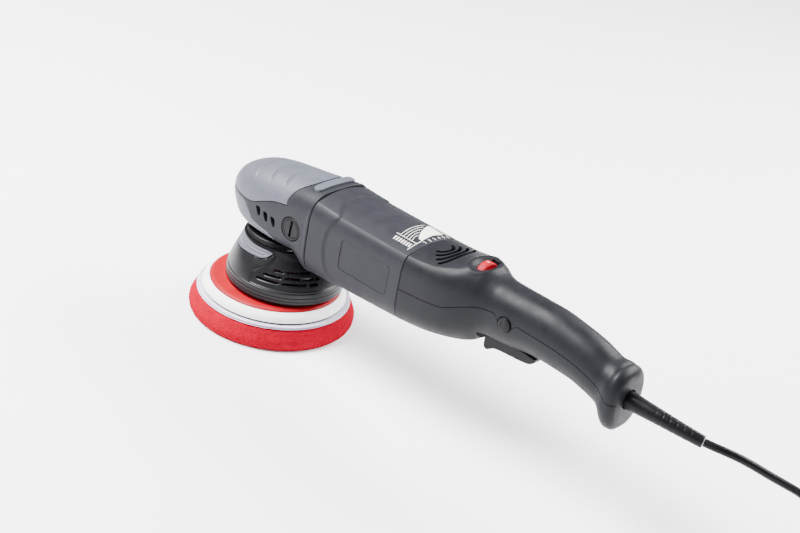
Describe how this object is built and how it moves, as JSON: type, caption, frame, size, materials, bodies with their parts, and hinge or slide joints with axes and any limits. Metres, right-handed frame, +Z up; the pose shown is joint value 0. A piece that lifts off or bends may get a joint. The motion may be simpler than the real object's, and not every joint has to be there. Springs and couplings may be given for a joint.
{
  "type": "dual action polisher",
  "caption": "Mains dual action polisher with a long motor body, curved rear handle, bell shroud over an orbiting backing plate, foam pad, speed dial, trigger and lead.",
  "frame": {"origin": "point of the foam pad's working face on the drive spindle's axis", "axes": "+Z up the spindle, +X back along the motor to the handle, +Y to the tool's left seen from behind"},
  "size_m": [0.6925, 0.2349, 0.1466],
  "materials": {
    "graphite_housing": "satin",
    "graphite_plastic": "satin",
    "charcoal_plastic": "satin",
    "black_plastic": "semi-gloss",
    "black_fittings": "satin",
    "grey_rubber": "matte",
    "black_rubber": "matte",
    "red_plastic": "satin",
    "white_cushion": "matte",
    "red_foam": "open cell",
    "loop_fabric": "brushed",
    "hook_fabric": "hooked",
    "steel": "ground",
    "steel_laminate": "stacked sheets",
    "copper_wire": "varnished wire",
    "brass_sheet": "satin",
    "carbon": "matte",
    "circuit_board": "gloss"
  },
  "bodies": {
    "tool_body": {"bearing_retainer": "steel", "brush_holder_left": "brass_sheet", "brush_holder_right": "brass_sheet", "carbon_brush_left": "carbon", "carbon_brush_right": "carbon", "collar_strap": "grey_rubber", "cord_clamp": "black_fittings", "cord_coil": "black_rubber", "cord_tail": "black_rubber", "cord_tie": "charcoal_plastic", "fan_baffle": "black_fittings", "field_winding_front": "copper_wire", "field_winding_rear": "copper_wire", "front_bearing_plate": "steel_laminate", "front_motor_bearing": "steel", "head_housing": "graphite_housing", "head_top_cover": "grey_rubber", "label_plate_left": "charcoal_plastic", "label_plate_right": "charcoal_plastic", "motor_housing": "graphite_plastic", "neck_seal": "black_rubber", "nose_pad": "grey_rubber", "power_cord": "black_rubber", "power_plug": "black_fittings", "rear_lower_shell": "charcoal_plastic", "rear_motor_bearing": "steel", "rear_upper_shell": "charcoal_plastic", "shroud": "black_plastic", "shroud_insert": "grey_rubber", "side_plug_left": "charcoal_plastic", "side_plug_right": "charcoal_plastic", "speed_control_board": "circuit_board", "spindle_lower_bearing": "steel", "spindle_upper_bearing": "steel", "stator_core": "steel_laminate", "strain_relief": "black_rubber", "trigger_pin": "steel", "trigger_switch": "black_fittings"},
    "armature": {"armature_shaft": "steel", "armature_core": "steel_laminate", "armature_winding_front": "copper_wire", "armature_winding_rear": "copper_wire", "commutator": "copper_wire", "cooling_fan": "black_fittings", "drive_pinion": "steel"},
    "spindle": {"driven_gear": "steel", "drive_spindle": "steel", "counterweight": "steel", "orbit_bearing": "steel"},
    "pad": {"pad_spindle": "steel", "backing_plate": "red_plastic", "plate_cushion": "white_cushion", "hook_layer": "hook_fabric", "pad_loop": "loop_fabric", "foam_pad": "red_foam"},
    "trigger_lever": {"trigger": "black_fittings"},
    "lock_button_key": {"lock_button": "black_fittings"},
    "dial": {"speed_dial": "red_plastic"}
  },
  "joints": [
    {"name": "spindle_spin", "type": "hinge", "parent": "tool_body", "child": "spindle", "pos_m": [0, 0, 0.06], "axis": [0, 0, 1], "continuous": true},
    {"name": "armature_spin", "type": "hinge", "parent": "tool_body", "child": "armature", "pos_m": [0, 0, 0.105], "axis": [1, 0, 0], "continuous": true},
    {"name": "pad_spin", "type": "hinge", "parent": "spindle", "child": "pad", "pos_m": [-0.00575, -0.00482, 0], "axis": [0, 0, 1], "continuous": true},
    {"name": "trigger_pull", "type": "hinge", "parent": "tool_body", "child": "trigger_lever", "pos_m": [0.264, 0, 0.101], "axis": [0, 1, 0], "range_deg": [0, 8], "stiffness_Nm_per_rad": 0.6, "springref_deg": -5.73},
    {"name": "lock_button_press", "type": "slide", "parent": "tool_body", "child": "lock_button_key", "axis": [0, 1, 0], "range_m": [0, 0.003], "stiffness_N_per_m": 400, "springref_m": -0.001},
    {"name": "speed_dial_turn", "type": "hinge", "parent": "tool_body", "child": "dial", "pos_m": [0.203, 0, 0.1342], "axis": [1, 0, 0], "range_deg": [0, 270]}
  ],
  "couplings": [
    {"joint": "armature_spin", "follows": "spindle_spin", "ratio": 4}
  ]
}
